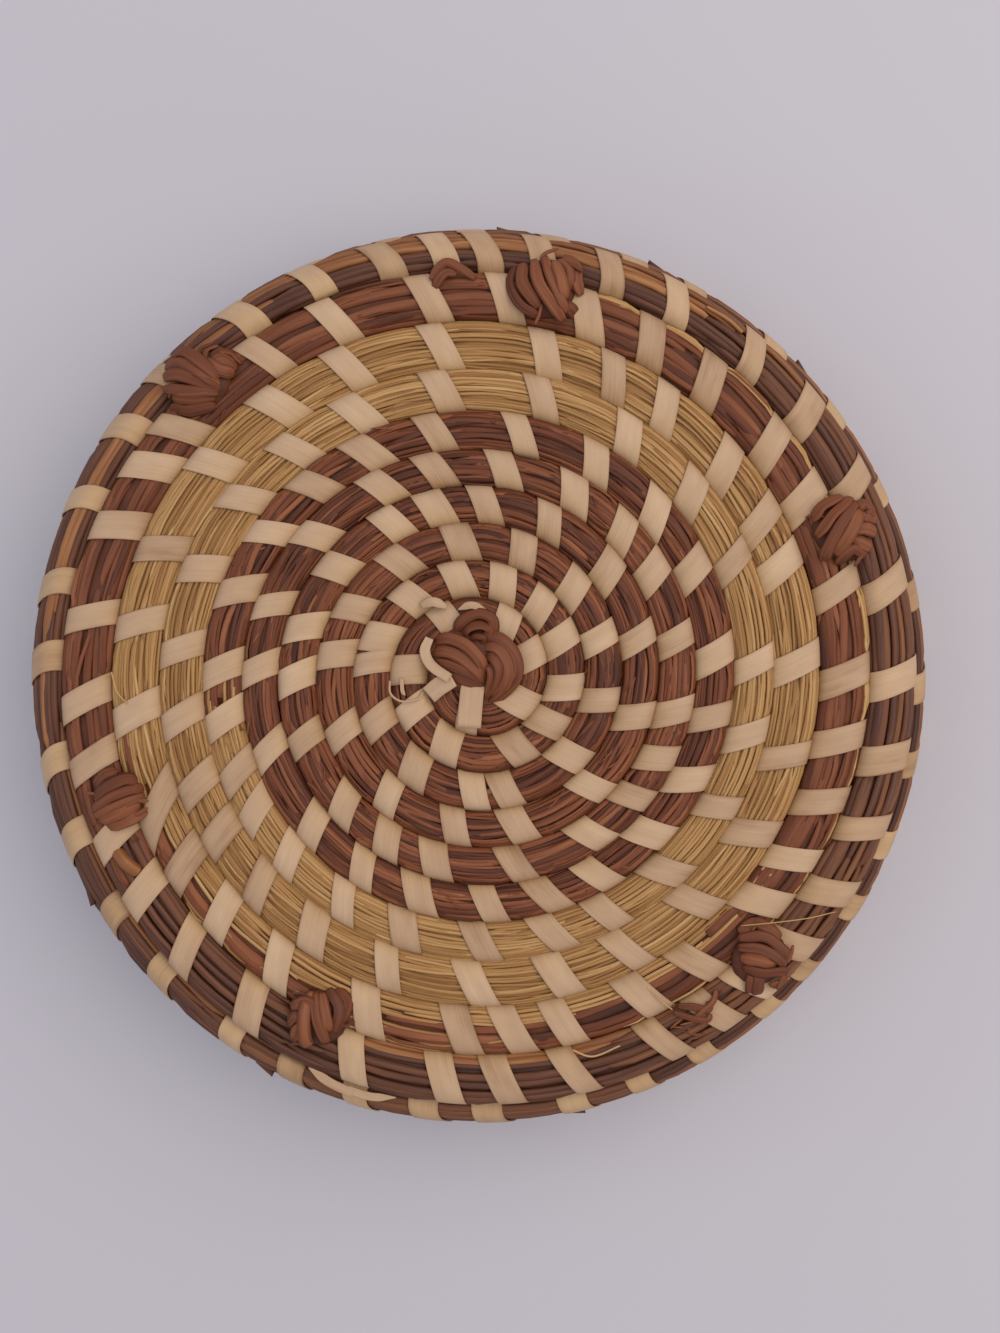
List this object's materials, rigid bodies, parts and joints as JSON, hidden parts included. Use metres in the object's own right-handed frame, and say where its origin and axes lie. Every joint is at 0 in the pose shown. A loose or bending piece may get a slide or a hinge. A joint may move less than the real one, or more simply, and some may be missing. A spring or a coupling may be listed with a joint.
{
  "type": "coiled basket",
  "caption": "Round coiled basket with a flat base, a short flared wall and pine-needle knots round the shoulder, stored rim down.",
  "frame": {"origin": "centre of the rim's lower plane, the basket lying rim down", "axes": "+Z from the rim up through the centre of the base, +X and +Y in the rim's plane"},
  "size_m": [0.2336, 0.2345, 0.054],
  "materials": {
    "pine_needle": "dried longleaf pine needles laid in parallel, reddish brown, slightly glossy",
    "sweetgrass": "fine dried grass stems, golden tan, satin",
    "bulrush": "smooth round dried rush stems, dark brown and tan",
    "palmetto": "flat strips of dried palm leaf, cream, matt to satin"
  },
  "bodies": {
    "root": {"pine_centre_coil": "pine_needle", "sweetgrass_coil": "sweetgrass", "pine_band_coil": "pine_needle", "bulrush_shoulder_coil": "bulrush", "bulrush_wall_coil_1": "bulrush", "bulrush_wall_coil_2": "bulrush", "bulrush_wall_coil_3": "bulrush", "bulrush_rim_coil": "bulrush", "start_knot": "pine_needle", "pine_knot_1": "pine_needle", "pine_knot_2": "pine_needle", "pine_knot_3": "pine_needle", "pine_knot_4": "pine_needle", "pine_knot_5": "pine_needle", "pine_knot_6": "pine_needle", "palmetto_strip_01": "palmetto", "palmetto_strip_02": "palmetto", "palmetto_strip_03": "palmetto", "palmetto_strip_04": "palmetto", "palmetto_strip_05": "palmetto", "palmetto_strip_06": "palmetto", "palmetto_strip_07": "palmetto", "palmetto_strip_08": "palmetto", "palmetto_strip_09": "palmetto", "palmetto_strip_10": "palmetto", "palmetto_strip_11": "palmetto", "palmetto_strip_12": "palmetto", "palmetto_strip_13": "palmetto", "palmetto_strip_14": "palmetto", "palmetto_strip_15": "palmetto", "palmetto_strip_16": "palmetto", "palmetto_strip_17": "palmetto", "palmetto_strip_18": "palmetto", "palmetto_strip_19": "palmetto", "palmetto_strip_20": "palmetto", "palmetto_strip_21": "palmetto", "palmetto_strip_22": "palmetto", "palmetto_strip_23": "palmetto", "palmetto_strip_24": "palmetto", "palmetto_strip_25": "palmetto", "palmetto_strip_26": "palmetto", "palmetto_strip_27": "palmetto", "palmetto_strip_28": "palmetto"}
  },
  "joints": []
}
